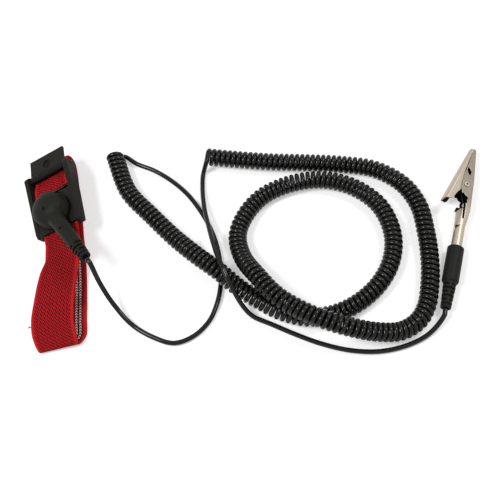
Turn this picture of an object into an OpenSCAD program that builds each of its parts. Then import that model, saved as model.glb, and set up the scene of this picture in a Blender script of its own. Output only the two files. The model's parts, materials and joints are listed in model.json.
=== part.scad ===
/* [Wrist band] */
// Width of the elastic band
band_w = 20.5; // [18:0.5:21.5]
// Thickness of the elastic band
band_t = 1.4; // [1:0.1:1.5]

/* [Buckle] */
// Length of the tray along the band
tray_l = 34.2; // [33:0.2:36]
// Clear width between the cheeks
tray_in = 21.7; // [21.6:0.1:24]
// Thickness of each cheek
cheek_t = 2.4; // [1.8:0.1:3]
// Height of the cheeks at the lower end
cheek_h = 5.1; // [5:0.1:6]
// Thickness of the tray floor
floor_t = 1.6; // [1.2:0.1:2]
// Length of the snap plate
plate_l = 19; // [18:0.5:19.5]
// Thickness of the snap plate
plate_t = 1.7; // [1.5:0.1:2.2]
// Depth of the round dish in the snap plate
dish_d = 0.5; // [0.2:0.1:0.8]
// Radius of the round dish in the snap plate
dish_r = 10.2; // [9.8:0.1:10.4]
// Distance of the press stud from the tray's lower end
stud_y = 9.2; // [9:0.1:9.6]
// Radius of the ears around the lever pin
ear_r = 2.6; // [2.2:0.1:2.8]
// Thickness of the skin contact plate
contact_t = 0.5; // [0.3:0.1:0.8]
// Width of the skin contact plate
contact_w = 20; // [16:0.5:22]
// Length of the skin contact plate
contact_l = 27; // [24:0.5:30]

/* [Clamp lever] */
// Distance of the lever pin from the tray's upper end
pin_back = 3; // [2.8:0.1:3.2]
// Radius of the lever pin
pin_r = 0.75; // [0.6:0.05:0.9]
// Radius of the lever's hinge barrel
lever_barrel_r = 1.5; // [1.3:0.1:1.6]
// Reach of the lever from its pin to its free edge
lever_l = 12; // [10:0.1:12]
// Thickness of the lever's flap
lever_t = 1.4; // [1:0.1:1.5]
// Side gap between the lever and each cheek
lever_side_gap = 0.5; // [0.3:0.1:0.8]
// Height of the lever's teeth
tooth_h = 0.45; // [0.3:0.05:0.6]
// Spacing of the lever's teeth
tooth_pitch = 1.6; // [1.2:0.1:2.4]
// Angle of the open lever below the tray's plane
lever_droop = 6; // [0:1:7]

/* [Press stud] */
// Radius of the stud's head
stud_r = 5; // [4.5:0.1:5.2]
// Height of the stud above its seat
stud_h = 3.6; // [3.2:0.1:3.8]
// Radius of the stud's flange
stud_flange_r = 5.6; // [5.4:0.1:5.8]
// Thickness of the stud's flange
stud_flange_t = 0.5; // [0.4:0.1:0.6]
// Radius of the rivet's shank
rivet_r = 1.5; // [1.2:0.1:1.8]
// Radius of the rivet's head
rivet_head_r = 3; // [2.6:0.1:3.4]
// Thickness of the rivet's head
rivet_head_t = 0.5; // [0.3:0.1:0.6]
// Radius of the socket's outside
socket_r = 6.4; // [6.2:0.1:6.8]
// Wire thickness of the socket's spring ring
socket_wire = 0.5; // [0.4:0.05:0.6]

/* [Connector] */
// Radius of the connector head at its base
head_r = 9.4; // [8.8:0.1:9.8]
// Height of the connector head
head_h = 9.4; // [9:0.1:10]
// Distance from the stud's axis to the relief's end
neck_l = 36.4; // [35:0.1:40]
// Length of the connector's strain relief
neck_relief_l = 9.6; // [8:0.1:11]
// Radius of the neck beside the head
neck_r1 = 4.2; // [3.8:0.1:4.4]
// Radius of the neck at the strain relief
neck_r2 = 3.4; // [3:0.1:3.6]
// Radius of the strain relief's end
neck_r3 = 2.7; // [2.4:0.1:3]
// Radius of the safety resistor
resistor_r = 1.1; // [0.9:0.05:1.3]
// Length of the safety resistor
resistor_l = 6.5; // [6:0.1:7]

/* [Cord] */
// Diameter of the straight leads and of the coil's wire
wire_d = 2.4; // [2:0.1:2.5]
// Outer diameter of the coiled cord
coil_od = 9.3; // [8.5:0.1:9.5]
// Number of drawn curls, plus a half
curls = 89; // [60:1:89]

/* [Plug] */
// Radius of the plug boot
boot_r = 4.05; // [4:0.05:4.2]
// Length of the plug boot's thick part
boot_l = 19.5; // [18:0.1:20]
// Length of the boot's strain relief
boot_relief_l = 13.4; // [12:0.1:14]
// Radius of the boot's strain relief at the boot
boot_relief_r1 = 3.2; // [3:0.1:3.4]
// Radius of the boot's strain relief at its end
boot_relief_r2 = 2.5; // [2.3:0.1:2.8]
// Depth of the rim recess that takes the clip's barrel
rim_depth = 1; // [0.6:0.1:1.5]
// Radius of the plug pin's core
banana_core_r = 1.4; // [1.2:0.05:1.5]
// Reach of the plug pin past the boot's rim
banana_l = 17; // [14:0.5:17]
// Radius of the crimp on the clip lead
crimp_r = 2; // [1.8:0.1:2.2]

/* [Clip] */
// Inner radius of the clip's barrel
barrel_in_r = 2.15; // [2.05:0.01:2.2]
// Sheet thickness of the clip
sheet_t = 0.5; // [0.4:0.05:0.55]
// Length of the clip's barrel
barrel_l = 13.9; // [13:0.1:14.5]
// Distance of the clip's tip from the boot's rim
clip_l = 59; // [58:0.1:60]
// Distance of the clip's rivet from the boot's rim
clip_rivet_y = 35.1; // [34.8:0.1:35.4]
// Half width of the clip's fixed half
clip_half_w = 3.5; // [3.4:0.05:3.7]
// Half width of both halves at the tip
tip_half_w = 1.7; // [1.5:0.1:1.9]
// Radius of the clip's rivet
clip_rivet_r = 0.9; // [0.7:0.05:1]
// Side gap between the two halves
jaw_gap = 0.1; // [0.05:0.01:0.15]
// Wire thickness of the clip's spring
clip_wire = 0.5; // [0.4:0.05:0.6]
// Angle by which the clip is rolled about its own axis
clip_roll = 22; // [18:1:26]

/* [Hidden] */
$fn = 64;

// ---- Vectors ----
function unit(v) = v / norm(v);
function turn_x(a, v) = [v.x, v.y * cos(a) - v.z * sin(a), v.y * sin(a) + v.z * cos(a)];
function turn_y(a, v) = [v.x * cos(a) + v.z * sin(a), v.y, v.z * cos(a) - v.x * sin(a)];
function turn_z(a, v) = [v.x * cos(a) - v.y * sin(a), v.x * sin(a) + v.y * cos(a), v.z];
function at_least(p, z) = [p.x, p.y, max(p.z, z)];
function low(list, k) = min([for (p = list) p[k]]);
function high(list, k) = max([for (p = list) p[k]]);

// ---- Smooth curve through hand chosen points ----
// Points may carry more than three numbers: all of them run smoothly.
function xyz(p) = [p[0], p[1], p[2]];
function step_between(p, q) = sqrt(norm(xyz(q) - xyz(p)));
function slope_at(before, here, after, a, b, span) =
    ((here - before) / a - (after - before) / (a + b) + (after - here) / b) * span;
function curve_piece(p0, p1, p2, p3, n) =
    let (a = step_between(p0, p1), b = step_between(p1, p2), c = step_between(p2, p3),
         m1 = slope_at(p0, p1, p2, a, b, b), m2 = slope_at(p1, p2, p3, b, c, b))
    [for (i = [0 : n - 1])
        let (u = i / n, v = u * u, w = v * u)
        (2 * w - 3 * v + 1) * p1 + (w - 2 * v + u) * m1
        + (3 * v - 2 * w) * p2 + (w - v) * m2];
function smooth(pts, n) =
    let (last = len(pts) - 1,
         open = concat([2 * pts[0] - pts[1]], pts, [2 * pts[last] - pts[last - 1]]))
    concat([for (k = [0 : last - 1])
                each curve_piece(open[k], open[k + 1], open[k + 2], open[k + 3], n)],
           [pts[last]]);
function tangent(pts, i) =
    unit(xyz(pts[min(i + 1, len(pts) - 1)]) - xyz(pts[max(i - 1, 0)]));

// ---- Solids swept along rings of points ----
// Every ring has the same number of points, in the same order.
module swept(rings) {
    n = len(rings[0]);
    last = len(rings) - 1;
    sides = [for (i = [0 : last - 1], j = [0 : n - 1])
        let (a = i * n + j, b = i * n + (j + 1) % n)
        each [[a, a + n, b], [b, a + n, b + n]]];
    caps = [for (j = [1 : n - 2])
        each [[0, j, j + 1], [last * n, last * n + j + 1, last * n + j]]];
    polyhedron(points = [for (r = rings) each r], faces = concat(sides, caps));
}
function ring(centre, dir, across, r, n) =
    let (side = unit(across - dir * (across * dir)), up = cross(dir, side))
    [for (j = [0 : n - 1])
        centre + r * (cos(j * 360 / n) * side + sin(j * 360 / n) * up)];

// ---- Place of the buckle ----
yaw = 14.5;
pitch = 2.5;
roll = 28;
buckle_at = [5.57, 5.89, 8.10];
function tray_dir(v) = turn_z(yaw, turn_x(pitch, turn_y(-roll, v)));
function tray_point(v) = buckle_at + tray_dir(v);
module in_tray() {
    translate(buckle_at) rotate([0, 0, yaw]) rotate([pitch, 0, 0]) rotate([0, -roll, 0])
        children();
}

// ---- Layers of the buckle, measured up from the tray's underside ----
layer_gap = 0.15;
pin_y = tray_l - pin_back;
band_mid = floor_t + layer_gap + band_t / 2;
plate_z = band_mid + band_t / 2 + layer_gap;
plate_top = plate_z + plate_t;
stud_seat = plate_top - dish_d;
pin_z = plate_z + lever_barrel_r + 0.1;
tray_w = tray_in + 2 * cheek_t;
contact_y = 2;
lever_half_w = tray_in / 2 - lever_side_gap;
lever_inner = 0.4;
tooth_seat = 1.1;
pin_play = 0.05;

// ---- Route of the band: centre, roll and yaw of its width, share of its width ----
// The lower layer lies flat near the fold and rises to the hinge bar. The edges curl in at the fold.
// The free end runs back under the lever's teeth and arches up before the snap plate.
flat_z = band_t / 2;
fold_run = 4.2;
band_end = plate_l - 3.5;
tail_end = plate_l + 2.3;
tail_rise = 1.15;
function tray_station(y, z, x = 0) = concat(tray_point([x, y, z]), [roll, yaw, 1]);
band_route = concat(
    [for (y = [band_end, 12, 8, 4, 0]) tray_station(y, band_mid)],
    [[6.4, -4, 8.2, 30, 13, 1], [5.4, -13.1, 6, 21, 9, 1.02], [3.9, -27.7, 5.2, 17, 4.5, 1.04],
     [4, -38.6, 4.2, 13, 3, 1.04], [5.7, -46.2, 4.3, 11, 8, 1.01],
     [8.3, -51.6, 2.6, 5, 12.5, 0.92], [9.9, -47, flat_z, 0, 11, 0.98],
     [9, -37.3, flat_z, 0, 8, 1], [7.6, -20.7, 0.8, 1, 7, 1], [6.4, -7, 2.3, 9, 7, 1],
     [5.1, 3, 3.3, 16, 8, 1], [3.5, 13.8, 3.6, 17, 9, 1], [1.4, 24, 3.6, 16, 12, 1],
     [0.6, 31.4, 4.8, 21, 14, 1]],
    [tray_station(tray_l - fold_run, -3.8, 0.9), tray_station(tray_l + 0.3, -2.8, 1.3),
     tray_station(tray_l + 3.2, -0.2, 1.3), tray_station(tray_l + 2.7, 2.1, 0.8)],
    [for (back = [0, 3.2, 5]) tray_station(tray_l - back, band_mid)],
    [for (p = [[4.9, 0.8], [2.2, 1], [0, 0.95]])
        tray_station(tail_end + p[0], band_mid + tail_rise * p[1], -0.3)]);
band_curve = smooth(band_route, 3);
function band_across(p) = turn_z(p[4], turn_y(-p[3], [1, 0, 0]));
function band_ring(i) =
    let (p = band_curve[i], w = band_across(p), t = tangent(band_curve, i),
         n = unit(cross(t, w)), c = at_least(xyz(p), flat_z))
    [for (k = [[-1, -1], [1, -1], [1, 1], [-1, 1]])
        at_least(c + w * k[0] * p[5] * band_w / 2 + n * k[1] * band_t / 2, 0)];
band_rings = [for (i = [0 : len(band_curve) - 1]) band_ring(i)];

// ---- The strap stands with the middle of its outline over the origin ----
lever_tip = lever_l * cos(lever_droop);
strap_points = concat(
    [for (r = band_rings) each r],
    [for (x = [-1, 1] * tray_w / 2, y = [0, pin_y + ear_r * 0.8], z = [0, cheek_h])
        tray_point([x, y, z])],
    [for (x = [-1, 1] * lever_half_w)
        tray_point([x, pin_y + lever_tip, pin_z + lever_inner - lever_l * sin(lever_droop)])]);
shift = -[(low(strap_points, 0) + high(strap_points, 0)) / 2,
          (low(strap_points, 1) + high(strap_points, 1)) / 2,
          low(strap_points, 2)];
echo(shift = shift);

// ---- Place of the connector's neck ----
neck_turn = 25;
neck_z = 9.5;
lead_bore_r = wire_d / 2 + 0.1;
neck_lead_in = 12;
neck_dir = [sin(neck_turn), -cos(neck_turn), 0];
function neck_point(s) = tray_point([0, stud_y, neck_z] + s * neck_dir);
module along_neck() {
    in_tray() translate([0, stud_y, neck_z]) rotate([0, 0, neck_turn]) rotate([90, 0, 0])
        children();
}

// ---- Place of the plug and clip ----
plug_turn = -15.2;
plug_at = [195.3, -1.1, 4.2];
plug_dir = turn_z(plug_turn, [0, 1, 0]);
boot_end = -(boot_l + boot_relief_l);
module at_plug() { translate(plug_at) rotate([0, 0, plug_turn]) children(); }
module along_plug() { at_plug() rotate([-90, 0, 0]) children(); }
module at_clip() { at_plug() rotate([0, clip_roll, 0]) children(); }

// ---- Routes of the cord ----
curl_r = coil_od / 2 - wire_d / 2;
coil_z = coil_od / 2 + 0.05;
lead_z = wire_d / 2 + 0.1;
coil_route = [[74, 51.5, coil_z], [88, 50, coil_z], [106, 48.5, coil_z],
    [124, 48, coil_z], [142, 47, coil_z], [159, 44, coil_z], [172.5, 35, coil_z],
    [179.5, 22.5, coil_z], [181.5, 8.5, coil_z], [182, -2, coil_z],
    [181.5, -13.5, coil_z], [180, -23.5, coil_z], [178, -31.5, coil_z],
    [173.5, -39, coil_z], [165, -44.5, 5.4], [153.5, -46.5, 9], [141.5, -46, 13],
    [129, -43, 15], [118, -38, 15.2], [107.5, -31, 15.2], [98.5, -20, 13.5],
    [92, -8, 8], [89.5, 5.5, 4.8], [93.5, 17.5, coil_z], [102, 28, coil_z],
    [115.5, 35, coil_z], [131.5, 37.5, coil_z], [147, 33.5, coil_z],
    [159.5, 23, coil_z], [165, 8, coil_z], [164, -6, coil_z], [158, -18.5, coil_z],
    [147, -29.5, coil_z], [134, -36, coil_z], [121.5, -37.5, coil_z],
    [110, -34.5, coil_z], [100, -29, 4.8], [90.5, -23, 5.6], [81, -15.5, 7.6],
    [70, -6.5, 6.8], [58.5, 4.5, 4.8], [46.5, 17, coil_z], [34.5, 30.5, coil_z],
    [25.8, 52.3, coil_z]];
clip_lead_route = [[71.5, 43, 1.3], [71.5, 32.5, 1.8], [73, 20.5, 4.2],
    [75.5, 8.5, 7.5], [78, -2.5, 11.5], [80.5, -11, 14.2], [84, -19, 14],
    [87.5, -26, 11], [92.5, -33, 6.2], [97, -36.5, 3.2], [104, -39, 1.3],
    [115, -44, 1.3], [127.5, -49, 1.3], [141.5, -52.5, 1.3], [155, -53, 1.3],
    [168, -50, 1.3], [178.5, -44.5, 2]];
strap_lead_route = [[37, 49.5, 1.3], [46, 45.5, 1.3], [55, 39.5, 1.3],
    [63.5, 31.5, 1.3], [70, 22.5, 1.3], [75, 13.5, 1.3], [78.5, 4.5, 1.3],
    [80.5, -4, 1.3], [81.5, -12, 1.3], [81.5, -20, 1.3], [80, -29, 1.3],
    [76.5, -38, 1.3], [69.5, -45.5, 1.3], [60.5, -49, 1.3], [50.5, -46, 1.3],
    [40.5, -40, 2], [32, -31.5, 6], [26.5, -24.5, 13]];

// ---- Curly cord: one unbroken helix along the coil's route ----
curl_rings = 8;
curl_sides = 6;
coil_curve = [for (p = smooth(coil_route, 12)) at_least(p, coil_z)];
coil_last = len(coil_curve) - 1;
coil_run = [for (i = 0, s = 0; i <= coil_last;
                 s = s + (i < coil_last ? norm(coil_curve[i + 1] - coil_curve[i]) : 0),
                 i = i + 1) [s, i]];
coil_len = coil_run[coil_last][0];
function coil_index(s) = lookup(s, coil_run);
function coil_at(s) =
    let (q = coil_index(s), i = min(floor(q), coil_last - 1))
    coil_curve[i] + (q - i) * (coil_curve[i + 1] - coil_curve[i]);
function coil_dir(s) = unit(coil_at(min(s + 1.5, coil_len)) - coil_at(max(s - 1.5, 0)));
function coil_left(s) = unit(cross([0, 0, 1], coil_dir(s)));
curl_turns = curls + 0.5;
function helix_point(turn) =
    let (s = coil_len * turn / curl_turns, a = 90 - 360 * turn,
         left = coil_left(s), up = cross(coil_dir(s), left))
    coil_at(s) + curl_r * (cos(a) * left + sin(a) * up);
helix = [for (k = [0 : curl_turns * curl_rings]) helix_point(k / curl_rings)];
helix_last = len(helix) - 1;
start_dir = coil_left(0);
end_dir = -coil_left(coil_len);
coil_start = helix[0] - wire_d * start_dir;
coil_end = helix[helix_last] + wire_d * end_dir;
coil_path = concat([coil_start], helix, [coil_end]);
function coil_tangent(i) = i == 0 ? start_dir
    : i == len(coil_path) - 1 ? end_dir : tangent(coil_path, i);
function coil_axis_near(i) =
    coil_at(coil_len * min(max(i - 1, 0), helix_last) / helix_last);

// Least gap between turns that are not next to each other along the wire.
gap_reach = curl_rings * 2;
curl_gap = min([for (i = [0 : 3 : helix_last - gap_reach])
    min([for (j = [i + curl_rings - 2 : i + gap_reach]) norm(helix[i] - helix[j])])]) - wire_d;
echo(curl_gap = curl_gap);

// ---- Straight leads ----
// The coil's wire leaves over the top at its start and under the bottom at its end.
clip_lead_pts = concat(
    [coil_start, coil_start - wire_d * start_dir],
    clip_lead_route,
    [for (y = [-1.6 * wire_d, 0, boot_relief_l / 2, boot_relief_l])
        plug_at + (boot_end + y) * plug_dir]);
strap_lead_pts = concat(
    [coil_end, coil_end + wire_d * end_dir],
    strap_lead_route,
    [for (s = [neck_l + 1.6 * wire_d, neck_l, neck_l - neck_lead_in / 2, neck_l - neck_lead_in])
        neck_point(s)]);
lead_sides = 8;
module lead(pts, first_dir, last_dir) {
    curve = [for (p = smooth(pts, 2)) at_least(p, lead_z)];
    last = len(curve) - 1;
    swept([for (i = [0 : last])
        let (t = i == 0 ? first_dir : i == last ? last_dir : tangent(curve, i))
        ring(curve[i], t, cross(t, [0, 0, 1]), wire_d / 2, lead_sides)]);
}

// ---- Band and buckle ----
module wristband() {
    color("firebrick") difference() {
        translate(shift) swept(band_rings);
        translate(shift) in_tray() translate([0, stud_y, 0]) cylinder(h = plate_z, r = rivet_r + 0.2);
    }
}

module cheek_outline() {
    ear_low = pin_z - ear_r * 0.6;
    polygon([[0, 0], [tray_l - 1, 0], [tray_l, 1], [tray_l, floor_t],
             [pin_y + ear_r * 0.8, ear_low], [pin_y, pin_z + ear_r],
             [pin_y - ear_r, pin_z + ear_r * 0.85], [2, cheek_h], [0, cheek_h - 1]]);
    translate([pin_y, pin_z]) circle(ear_r);
}

module buckle_base() {
    color("dimgray") translate(shift) in_tray() difference() {
        union() {
            translate([-tray_w / 2, 0, 0]) cube([tray_w, tray_l, floor_t]);
            for (x = [-tray_w / 2, tray_in / 2])
                translate([x, 0, 0]) rotate([90, 0, 90]) linear_extrude(cheek_t) cheek_outline();
        }
        translate([0, pin_y, pin_z]) rotate([0, 90, 0])
            cylinder(h = tray_w + 2, r = pin_r, center = true);
        translate([0, stud_y, -1]) cylinder(h = floor_t + 2, r = rivet_r);
    }
}

module snap_plate() {
    color("dimgray") translate(shift) in_tray() difference() {
        translate([-tray_in / 2, 0, plate_z]) cube([tray_in, plate_l, plate_t]);
        translate([0, stud_y, stud_seat]) cylinder(h = dish_d + 1, r = dish_r);
        translate([0, stud_y, plate_z - 1]) cylinder(h = plate_t + 2, r = rivet_r);
    }
}

module contact_plate() {
    corner = 2.5;
    color("silver") translate(shift) in_tray() difference() {
        translate([0, contact_y, -contact_t]) linear_extrude(contact_t) union() {
            translate([-contact_w / 2 + corner, 0]) square([contact_w - 2 * corner, contact_l]);
            translate([-contact_w / 2, corner]) square([contact_w, contact_l - 2 * corner]);
            for (x = [-1, 1] * (contact_w / 2 - corner), y = [corner, contact_l - corner])
                translate([x, y]) circle(corner);
        }
        translate([0, stud_y, -contact_t - 1]) cylinder(h = contact_t + 2, r = rivet_r);
    }
}

stud_bore_top = stud_seat + stud_h - 1;
module snap_stud() {
    neck = stud_r - 0.6;
    color("silver") translate(shift) in_tray() translate([0, stud_y, stud_seat])
        rotate_extrude() polygon([
            [rivet_r, 0], [stud_flange_r, 0], [stud_flange_r, stud_flange_t],
            [neck, stud_flange_t], [neck, stud_h - 1.9], [stud_r, stud_h - 1.2],
            [stud_r, stud_h - 0.7], [stud_r - 0.7, stud_h], [0, stud_h],
            [0, stud_h - 1], [rivet_r, stud_h - 1]]);
}

module stud_rivet() {
    color("lightgray") translate(shift) in_tray()
        translate([0, stud_y, -contact_t - rivet_head_t]) {
            cylinder(h = rivet_head_t, r = rivet_head_r);
            cylinder(h = stud_bore_top + contact_t + rivet_head_t, r = rivet_r);
        }
}

// ---- Clamp lever ----
module lever_pin() {
    color("silver") translate(shift) in_tray() translate([0, pin_y, pin_z]) rotate([0, 90, 0])
        cylinder(h = tray_w - 0.4, r = pin_r, center = true);
}

module clamp_lever() {
    teeth_l = 2.2;
    teeth_y = -0.3;
    teeth = floor((2 * lever_half_w - 1) / tooth_pitch);
    dimple_r = 2.4;
    dimple_y = lever_l * 0.51;
    color("dimgray") translate(shift) in_tray() translate([0, pin_y, pin_z])
        rotate([-lever_droop, 0, 0]) difference() {
            union() {
                rotate([0, 90, 0]) cylinder(h = 2 * lever_half_w, r = lever_barrel_r, center = true);
                translate([-lever_half_w, 0, lever_inner - lever_t])
                    cube([2 * lever_half_w, lever_l, lever_t]);
                translate([-lever_half_w, teeth_y, 0])
                    cube([2 * lever_half_w, teeth_l, tooth_seat]);
                for (i = [0 : teeth - 1])
                    translate([(i - teeth / 2) * tooth_pitch, teeth_y + teeth_l, tooth_seat])
                        rotate([90, 0, 0]) linear_extrude(teeth_l)
                            polygon([[0, 0], [tooth_pitch, 0], [tooth_pitch / 2, tooth_h]]);
            }
            rotate([0, 90, 0]) cylinder(h = tray_w, r = pin_r + pin_play, center = true);
            translate([0, dimple_y, lever_inner - 0.3]) cylinder(h = 1, r = dimple_r);
        }
}

// ---- Connector ----
head_z = stud_seat + stud_flange_t + 0.2;
socket_top = stud_seat + stud_h + 1.2;
shoulder_r = head_r - 1;
shoulder_z = head_z + 5.4;
mark_r = 0.35;

// Tapered sleeve along +Z with slots cut into it from alternate sides.
module relief(l, r1, r2, core_r, slots) {
    pitch_z = l / (slots + 0.5);
    slot_w = pitch_z * 0.42;
    difference() {
        cylinder(h = l, r1 = r1, r2 = r2);
        for (i = [0 : slots - 1])
            rotate([0, 0, i * 90]) translate([0, 0, pitch_z * (i + 0.5)]) difference() {
                for (side = [0, 180])
                    rotate([0, 0, side]) translate([0.6, -r1, 0]) cube([r1, 2 * r1, slot_w]);
                translate([0, 0, -1]) cylinder(h = slot_w + 2, r = core_r);
            }
    }
}

module connector_shell() {
    dome_h = head_h - (shoulder_z - head_z);
    head_profile = concat(
        [[0, head_z], [head_r - 0.6, head_z], [head_r, head_z + 0.7]],
        [for (a = [0 : 11.25 : 90])
            [shoulder_r * cos(a), shoulder_z + dome_h * sin(a)]]);
    color("dimgray") translate(shift) difference() {
        union() {
            in_tray() translate([0, stud_y, 0]) rotate_extrude() polygon(head_profile);
            along_neck() cylinder(h = neck_l - neck_relief_l, r1 = neck_r1, r2 = neck_r2);
            along_neck() translate([0, 0, neck_l - neck_relief_l])
                relief(neck_relief_l, neck_r2, neck_r3, wire_d / 2 + 0.6, 4);
        }
        in_tray() translate([0, stud_y, 0]) cylinder(h = socket_top, r = socket_r);
        along_neck() cylinder(h = neck_l - neck_lead_in, r = resistor_r + 0.3);
        along_neck() translate([0, 0, neck_l / 2]) cylinder(h = neck_l, r = lead_bore_r);
        in_tray() translate([0.9, stud_y - 0.6, head_z + head_h - 0.8]) cylinder(h = 2, r = mark_r);
        along_neck() translate([0, 2, 15]) rotate([-90, 0, 0]) cylinder(h = 9, r = mark_r);
    }
}

module snap_socket() {
    spring_z = stud_seat + stud_h - 2.4;
    color("silver") translate(shift) in_tray() translate([0, stud_y, 0])
        difference() {
            translate([0, 0, head_z]) cylinder(h = socket_top - head_z, r = socket_r);
            translate([0, 0, head_z - 1]) cylinder(h = socket_top - head_z, r = stud_r + 0.06);
            translate([0, 0, spring_z - 0.1])
                cylinder(h = socket_wire + 0.2, r = stud_r + 0.1 + socket_wire + 0.1);
            translate([0, 0, head_z - 1]) cylinder(h = 1.6, r = stud_flange_r + 0.1);
        }
}

module socket_spring() {
    spring_z = stud_seat + stud_h - 2.4;
    color("goldenrod") translate(shift) in_tray()
        translate([0, stud_y, spring_z + socket_wire / 2])
            rotate([0, 0, 20]) rotate_extrude(angle = 320)
                translate([stud_r + 0.12 + socket_wire / 2, 0]) circle(socket_wire / 2, $fn = 24);
}

resistor_s = 13;
terminal_s = neck_l - neck_lead_in - 4;
module safety_resistor() {
    leg_r = 0.3;
    color("tan") translate(shift) along_neck() {
        translate([0, 0, resistor_s]) cylinder(h = resistor_l, r = resistor_r);
        translate([0, 0, socket_r + 0.05])
            cylinder(h = terminal_s - socket_r - 0.05, r = leg_r);
    }
}

module lead_terminal() {
    color("silver") translate(shift) along_neck() translate([0, 0, terminal_s])
        cylinder(h = neck_l - neck_lead_in - terminal_s, r = resistor_r);
}

// ---- Cord ----
module strap_lead() {
    color("dimgray") translate(shift)
        lead(strap_lead_pts, end_dir, -tray_dir(neck_dir));
}

module clip_lead() {
    color("dimgray") translate(shift)
        lead(clip_lead_pts, -start_dir, plug_dir);
}

module curly_cord() {
    color("black") translate(shift)
        swept([for (i = [0 : len(coil_path) - 1])
            ring(coil_path[i], coil_tangent(i), coil_path[i] - coil_axis_near(i),
                 wire_d / 2, curl_sides)]);
}

// ---- Plug ----
module plug_boot() {
    round_r = 1.2;
    body_profile = concat(
        [[0, -boot_l], [boot_relief_r1, -boot_l]],
        [for (a = [-90 : 22.5 : 0])
            [boot_r - round_r + round_r * cos(a), -boot_l + round_r + round_r * sin(a)]],
        [for (a = [0 : 22.5 : 90])
            [boot_r - 0.6 + 0.6 * cos(a), -0.6 + 0.6 * sin(a)]],
        [[0, 0]]);
    color("dimgray") translate(shift) difference() {
        union() {
            along_plug() rotate_extrude() polygon(body_profile);
            along_plug() rotate([180, 0, 0]) translate([0, 0, boot_l])
                relief(boot_relief_l, boot_relief_r1, boot_relief_r2, wire_d / 2 + 0.6, 6);
        }
        along_plug() translate([0, 0, boot_end - 1]) cylinder(h = boot_relief_l + 4, r = lead_bore_r);
        along_plug() translate([0, 0, -boot_l]) cylinder(h = boot_l - rim_depth, r = crimp_r);
        along_plug() translate([0, 0, -rim_depth - 0.01])
            cylinder(h = rim_depth + 1, r = barrel_in_r + sheet_t + 0.25);
    }
}

pin_foot = -12;
module banana_pin() {
    collar_l = -pin_foot - rim_depth;
    color("silver") translate(shift) along_plug() {
        translate([0, 0, pin_foot]) cylinder(h = collar_l, r = crimp_r);
        translate([0, 0, pin_foot + collar_l - 0.01]) cylinder(h = banana_l + rim_depth - 1, r = banana_core_r);
        translate([0, 0, banana_l - 1.01]) cylinder(h = 1, r1 = banana_core_r, r2 = banana_core_r - 0.7);
    }
}

module banana_springs() {
    spring_l = 11;
    spring_y = 2;
    leaf_t = 0.2;
    bulge_r = barrel_in_r - 0.05;
    bulge = [for (a = [0 : 15 : 180])
        [banana_core_r + (bulge_r - banana_core_r - leaf_t) * sin(a), spring_l * a / 180]];
    profile = concat(bulge, [for (i = [len(bulge) - 1 : -1 : 0]) bulge[i] + [leaf_t, 0]]);
    color("goldenrod") translate(shift) along_plug() translate([0, 0, spring_y]) difference() {
        rotate_extrude() polygon(profile);
        for (a = [0 : 90 : 270])
            rotate([0, 0, a]) translate([0, -0.4, spring_l * 0.12])
                cube([bulge_r + 1, 0.8, spring_l * 0.76]);
    }
}

module plug_crimp() {
    color("silver") translate(shift) along_plug() translate([0, 0, -boot_l])
        cylinder(h = pin_foot + boot_l, r = crimp_r);
}

// ---- Clip, drawn with its length along +Y and its sides facing up and down ----
jaw_half_w = clip_half_w - sheet_t - jaw_gap;
back_x = 2.8;
rivet_x = -2;
tip_back_x = 1.6;
taper_y = clip_rivet_y + 4;
flare_y = barrel_l + 7.6;
flare_x = -2;
wall_x = -6;
inner_corner = 0.6;
outer_corner = inner_corner + sheet_t;

// Thin slab across the clip with round corners, for hulls.
module slab(y, x1, x2, half_w, corner) {
    for (x = [x1 + corner, x2 - corner], z = [-1, 1] * (half_w - corner))
        translate([x, y, z]) rotate([-90, 0, 0]) cylinder(h = 0.02, r = corner, $fn = 24);
}

function back_at(y) = back_x + (tip_back_x - back_x) * (y - flare_y) / (clip_l - flare_y);

module body_shell(inset, corner, open_x) {
    left = wall_x - open_x;
    half_w = clip_half_w - inset;
    hull() {
        slab(flare_y - inset * 0.2, left, back_x - inset, half_w, corner);
        slab(taper_y, left, back_at(taper_y) - inset, half_w, corner);
    }
    hull() {
        slab(taper_y, left, back_at(taper_y) - inset, half_w, corner);
        slab(clip_l + inset * 0.2, left, tip_back_x - inset, tip_half_w - inset, corner);
    }
}

module barrel_flare(inset, corner) {
    hull() {
        translate([0, barrel_l - 2, 0]) rotate([-90, 0, 0])
            cylinder(h = 0.02, r = barrel_in_r + sheet_t - inset, $fn = 32);
        slab(flare_y, flare_x + inset, back_x - inset, clip_half_w - inset, corner);
    }
}

// The teeth lie along a straight line from the tip to the mouth's root.
mouth_tip = [-0.6, clip_l - 1];
mouth_root = [-3.7, clip_rivet_y + 8.2];
mouth_side = unit([mouth_root.y - mouth_tip.y, mouth_tip.x - mouth_root.x]);
mouth_gap = 0.12;
bite = 0.5;
bites = 11;
function mouth_line(offset) = [for (i = [0 : 2 * bites])
    mouth_tip + (mouth_root - mouth_tip) * i / (2 * bites)
    + mouth_side * (offset - (i % 2 == 0 ? 0 : bite))];

// Side outline of the fixed half, seen square to its sides.
ear_body_r = 2.6;
module body_outline() {
    barrel_r = barrel_in_r + sheet_t;
    difference() {
        union() {
            polygon(concat(
                [[-barrel_r - 1, -2], [barrel_r + 1, -2], [back_x + 1, barrel_l],
                 [back_x + 1, clip_l - 3], [0.9, clip_l + 0.3], [-0.3, clip_l]],
                mouth_line(0),
                [[rivet_x - ear_body_r, clip_rivet_y], [rivet_x - ear_body_r + 0.3, clip_rivet_y - 4],
                 [flare_x, flare_y + 2.2], [flare_x - 0.7, flare_y], [-barrel_r - 1, barrel_l - 2]]));
            translate([rivet_x, clip_rivet_y]) circle(ear_body_r);
        }
        star_opening();
        translate([-1.5, clip_rivet_y + 8.4]) rotate([0, 0, 14]) lens_opening();
    }
}

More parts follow.
